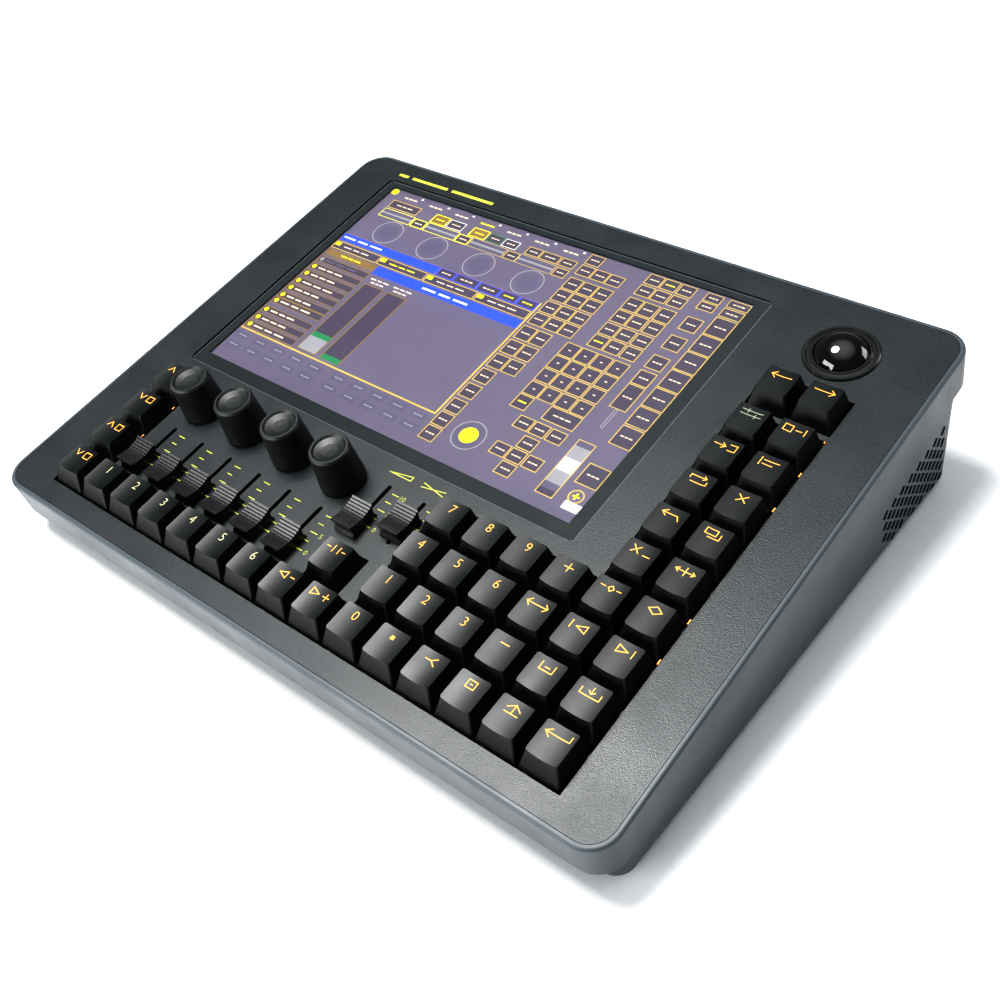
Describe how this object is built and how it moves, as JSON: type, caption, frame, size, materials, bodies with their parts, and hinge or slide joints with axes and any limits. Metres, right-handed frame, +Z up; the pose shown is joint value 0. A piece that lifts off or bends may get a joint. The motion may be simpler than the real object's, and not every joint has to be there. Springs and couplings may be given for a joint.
{
  "type": "lighting control desk",
  "caption": "Wedge-shaped table-top lighting desk with a touch screen, slide faders, encoder knobs, a trackball and blocks of square keys.",
  "frame": {"origin": "on the table, under the centre of the desk's outline", "axes": "+X to the operator's right, +Y to the rear, +Z up; the feet rest on z = 0 and the face plate slopes up to the rear by 8.5 degrees"},
  "size_m": [0.3376, 0.2596, 0.0727],
  "materials": {
    "casing_paint": "smooth satin blue-grey paint",
    "face_paint": "fine-speckled charcoal powder coat",
    "touch_glass": "polished cover glass with a black border",
    "display_module": "lit display",
    "steel_sheet": "zinc-plated sheet",
    "steel_sheet_black": "black powder coat",
    "switch_plastic": "moulded",
    "circuit_board": "solder resist",
    "nickel_metal": "nickel plate",
    "ring_plastic": "polished black",
    "brass_posts": "turned",
    "sink_aluminium": "extruded",
    "supply_case": "folded sheet",
    "fan_plastic": "moulded",
    "socket_black": "moulded",
    "foot_rubber": "matt",
    "screw_steel": "dark zinc",
    "key_plastic": "satin",
    "fader_plastic": "satin, ribbed",
    "knob_plastic": "matt, soft-touch",
    "ball_gloss": "polished",
    "rocker_plastic": "polished"
  },
  "bodies": {
    "desk": {"top_frame": "casing_paint", "lower_tub": "casing_paint", "face_plate": "face_paint", "touch_glass": "touch_glass", "display_panel": "display_module", "display_bracket": "steel_sheet", "switch_plate": "steel_sheet", "key_switches": "switch_plastic", "key_circuit_board": "circuit_board", "fader_tracks": "steel_sheet", "encoder_bodies": "nickel_metal", "trackball_ring": "ring_plastic", "trackball_cup": "ring_plastic", "main_board": "circuit_board", "board_standoffs": "brass_posts", "heat_sink": "sink_aluminium", "power_supply": "supply_case", "fan_frame": "fan_plastic", "rear_plate": "steel_sheet_black", "data_line_sockets": "socket_black", "computer_sockets": "nickel_metal", "power_inlet": "socket_black", "rubber_feet": "foot_rubber", "casing_screws": "screw_steel"},
    "page_keys": {"page_keys": "key_plastic"},
    "playback_keys_left": {"playback_keys_left": "key_plastic"},
    "playback_keys_right": {"playback_keys_right": "key_plastic"},
    "go_back_key": {"go_back_key": "key_plastic"},
    "go_forward_key": {"go_forward_key": "key_plastic"},
    "pause_key": {"pause_key": "key_plastic"},
    "zero_and_point_keys": {"zero_and_point_keys": "key_plastic"},
    "front_word_keys": {"front_word_keys": "key_plastic"},
    "digit_keys_low": {"digit_keys_low": "key_plastic"},
    "digit_keys_middle": {"digit_keys_middle": "key_plastic"},
    "digit_keys_high": {"digit_keys_high": "key_plastic"},
    "sign_keys": {"sign_keys": "key_plastic"},
    "command_keys_row_one": {"command_keys_row_one": "key_plastic"},
    "command_keys_row_two": {"command_keys_row_two": "key_plastic"},
    "command_keys_row_three": {"command_keys_row_three": "key_plastic"},
    "command_keys_row_four": {"command_keys_row_four": "key_plastic"},
    "command_keys_row_five": {"command_keys_row_five": "key_plastic"},
    "command_keys_row_six": {"command_keys_row_six": "key_plastic"},
    "command_keys_row_seven": {"command_keys_row_seven": "key_plastic"},
    "command_keys_row_eight": {"command_keys_row_eight": "key_plastic"},
    "ball_click_keys": {"ball_click_keys": "key_plastic"},
    "playback_fader_one": {"playback_fader_one": "fader_plastic"},
    "playback_fader_two": {"playback_fader_two": "fader_plastic"},
    "playback_fader_three": {"playback_fader_three": "fader_plastic"},
    "playback_fader_four": {"playback_fader_four": "fader_plastic"},
    "playback_fader_five": {"playback_fader_five": "fader_plastic"},
    "playback_fader_six": {"playback_fader_six": "fader_plastic"},
    "master_fader": {"master_fader": "fader_plastic"},
    "cross_fader": {"cross_fader": "fader_plastic"},
    "encoder_knob_four": {"encoder_knob_four": "knob_plastic"},
    "encoder_knob_three": {"encoder_knob_three": "knob_plastic"},
    "encoder_knob_two": {"encoder_knob_two": "knob_plastic"},
    "encoder_knob_one": {"encoder_knob_one": "knob_plastic"},
    "trackball": {"trackball": "ball_gloss"},
    "fan_rotor": {"fan_rotor": "fan_plastic"},
    "power_rocker": {"power_rocker": "rocker_plastic"}
  },
  "joints": [
    {"name": "page_keys_press", "type": "slide", "parent": "desk", "child": "page_keys", "axis": [0, 0.1478, -0.989], "range_m": [0, 0.004], "stiffness_N_per_m": 240, "springref_m": -0.008},
    {"name": "playback_keys_left_press", "type": "slide", "parent": "desk", "child": "playback_keys_left", "axis": [0, 0.1478, -0.989], "range_m": [0, 0.004], "stiffness_N_per_m": 180, "springref_m": -0.008},
    {"name": "playback_keys_right_press", "type": "slide", "parent": "desk", "child": "playback_keys_right", "axis": [0, 0.1478, -0.989], "range_m": [0, 0.004], "stiffness_N_per_m": 180, "springref_m": -0.008},
    {"name": "go_back_key_press", "type": "slide", "parent": "desk", "child": "go_back_key", "axis": [0, 0.1478, -0.989], "range_m": [0, 0.004], "stiffness_N_per_m": 60, "springref_m": -0.008},
    {"name": "go_forward_key_press", "type": "slide", "parent": "desk", "child": "go_forward_key", "axis": [0, 0.1478, -0.989], "range_m": [0, 0.004], "stiffness_N_per_m": 60, "springref_m": -0.008},
    {"name": "pause_key_press", "type": "slide", "parent": "desk", "child": "pause_key", "axis": [0, 0.1478, -0.989], "range_m": [0, 0.004], "stiffness_N_per_m": 60, "springref_m": -0.008},
    {"name": "zero_and_point_keys_press", "type": "slide", "parent": "desk", "child": "zero_and_point_keys", "axis": [0, 0.1478, -0.989], "range_m": [0, 0.004], "stiffness_N_per_m": 120, "springref_m": -0.008},
    {"name": "front_word_keys_press", "type": "slide", "parent": "desk", "child": "front_word_keys", "axis": [0, 0.1478, -0.989], "range_m": [0, 0.004], "stiffness_N_per_m": 240, "springref_m": -0.008},
    {"name": "digit_keys_low_press", "type": "slide", "parent": "desk", "child": "digit_keys_low", "axis": [0, 0.1478, -0.989], "range_m": [0, 0.004], "stiffness_N_per_m": 180, "springref_m": -0.008},
    {"name": "digit_keys_middle_press", "type": "slide", "parent": "desk", "child": "digit_keys_middle", "axis": [0, 0.1478, -0.989], "range_m": [0, 0.004], "stiffness_N_per_m": 180, "springref_m": -0.008},
    {"name": "digit_keys_high_press", "type": "slide", "parent": "desk", "child": "digit_keys_high", "axis": [0, 0.1478, -0.989], "range_m": [0, 0.004], "stiffness_N_per_m": 180, "springref_m": -0.008},
    {"name": "sign_keys_press", "type": "slide", "parent": "desk", "child": "sign_keys", "axis": [0, 0.1478, -0.989], "range_m": [0, 0.004], "stiffness_N_per_m": 180, "springref_m": -0.008},
    {"name": "command_keys_row_one_press", "type": "slide", "parent": "desk", "child": "command_keys_row_one", "axis": [0, 0.1478, -0.989], "range_m": [0, 0.004], "stiffness_N_per_m": 120, "springref_m": -0.008},
    {"name": "command_keys_row_two_press", "type": "slide", "parent": "desk", "child": "command_keys_row_two", "axis": [0, 0.1478, -0.989], "range_m": [0, 0.004], "stiffness_N_per_m": 120, "springref_m": -0.008},
    {"name": "command_keys_row_three_press", "type": "slide", "parent": "desk", "child": "command_keys_row_three", "axis": [0, 0.1478, -0.989], "range_m": [0, 0.004], "stiffness_N_per_m": 120, "springref_m": -0.008},
    {"name": "command_keys_row_four_press", "type": "slide", "parent": "desk", "child": "command_keys_row_four", "axis": [0, 0.1478, -0.989], "range_m": [0, 0.004], "stiffness_N_per_m": 120, "springref_m": -0.008},
    {"name": "command_keys_row_five_press", "type": "slide", "parent": "desk", "child": "command_keys_row_five", "axis": [0, 0.1478, -0.989], "range_m": [0, 0.004], "stiffness_N_per_m": 120, "springref_m": -0.008},
    {"name": "command_keys_row_six_press", "type": "slide", "parent": "desk", "child": "command_keys_row_six", "axis": [0, 0.1478, -0.989], "range_m": [0, 0.004], "stiffness_N_per_m": 120, "springref_m": -0.008},
    {"name": "command_keys_row_seven_press", "type": "slide", "parent": "desk", "child": "command_keys_row_seven", "axis": [0, 0.1478, -0.989], "range_m": [0, 0.004], "stiffness_N_per_m": 120, "springref_m": -0.008},
    {"name": "command_keys_row_eight_press", "type": "slide", "parent": "desk", "child": "command_keys_row_eight", "axis": [0, 0.1478, -0.989], "range_m": [0, 0.004], "stiffness_N_per_m": 120, "springref_m": -0.008},
    {"name": "ball_click_keys_press", "type": "slide", "parent": "desk", "child": "ball_click_keys", "axis": [0, 0.1478, -0.989], "range_m": [0, 0.004], "stiffness_N_per_m": 120, "springref_m": -0.008},
    {"name": "playback_fader_one_slide", "type": "slide", "parent": "desk", "child": "playback_fader_one", "axis": [0, 0.989, 0.1478], "range_m": [0, 0.02]},
    {"name": "playback_fader_two_slide", "type": "slide", "parent": "desk", "child": "playback_fader_two", "axis": [0, 0.989, 0.1478], "range_m": [0, 0.02]},
    {"name": "playback_fader_three_slide", "type": "slide", "parent": "desk", "child": "playback_fader_three", "axis": [0, 0.989, 0.1478], "range_m": [0, 0.02]},
    {"name": "playback_fader_four_slide", "type": "slide", "parent": "desk", "child": "playback_fader_four", "axis": [0, 0.989, 0.1478], "range_m": [0, 0.02]},
    {"name": "playback_fader_five_slide", "type": "slide", "parent": "desk", "child": "playback_fader_five", "axis": [0, 0.989, 0.1478], "range_m": [0, 0.02]},
    {"name": "playback_fader_six_slide", "type": "slide", "parent": "desk", "child": "playback_fader_six", "axis": [0, 0.989, 0.1478], "range_m": [0, 0.02]},
    {"name": "master_fader_slide", "type": "slide", "parent": "desk", "child": "master_fader", "axis": [0, 0.989, 0.1478], "range_m": [0, 0.02]},
    {"name": "cross_fader_slide", "type": "slide", "parent": "desk", "child": "cross_fader", "axis": [0, 0.989, 0.1478], "range_m": [-0.007, 0.013]},
    {"name": "encoder_knob_four_turn", "type": "hinge", "parent": "desk", "child": "encoder_knob_four", "pos_m": [-0.01895, -0.0536, 0.04249], "axis": [0, -0.1478, 0.989], "continuous": true},
    {"name": "encoder_knob_three_turn", "type": "hinge", "parent": "desk", "child": "encoder_knob_three", "pos_m": [-0.04882, -0.0536, 0.04249], "axis": [0, -0.1478, 0.989], "continuous": true},
    {"name": "encoder_knob_two_turn", "type": "hinge", "parent": "desk", "child": "encoder_knob_two", "pos_m": [-0.07869, -0.0536, 0.04249], "axis": [0, -0.1478, 0.989], "continuous": true},
    {"name": "encoder_knob_one_turn", "type": "hinge", "parent": "desk", "child": "encoder_knob_one", "pos_m": [-0.10856, -0.0536, 0.04249], "axis": [0, -0.1478, 0.989], "continuous": true},
    {"name": "trackball_roll", "type": "hinge", "parent": "desk", "child": "trackball", "pos_m": [0.1257, 0.09747, 0.06001], "axis": [1, 0, 0], "continuous": true},
    {"name": "fan_spin", "type": "hinge", "parent": "desk", "child": "fan_rotor", "pos_m": [0.155, 0.082, 0.0276], "axis": [1, 0, 0], "continuous": true},
    {"name": "power_rocker_tip", "type": "hinge", "parent": "desk", "child": "power_rocker", "pos_m": [-0.039, 0.12153, 0.031], "axis": [1, 0, 0], "range_deg": [0, 16]}
  ]
}
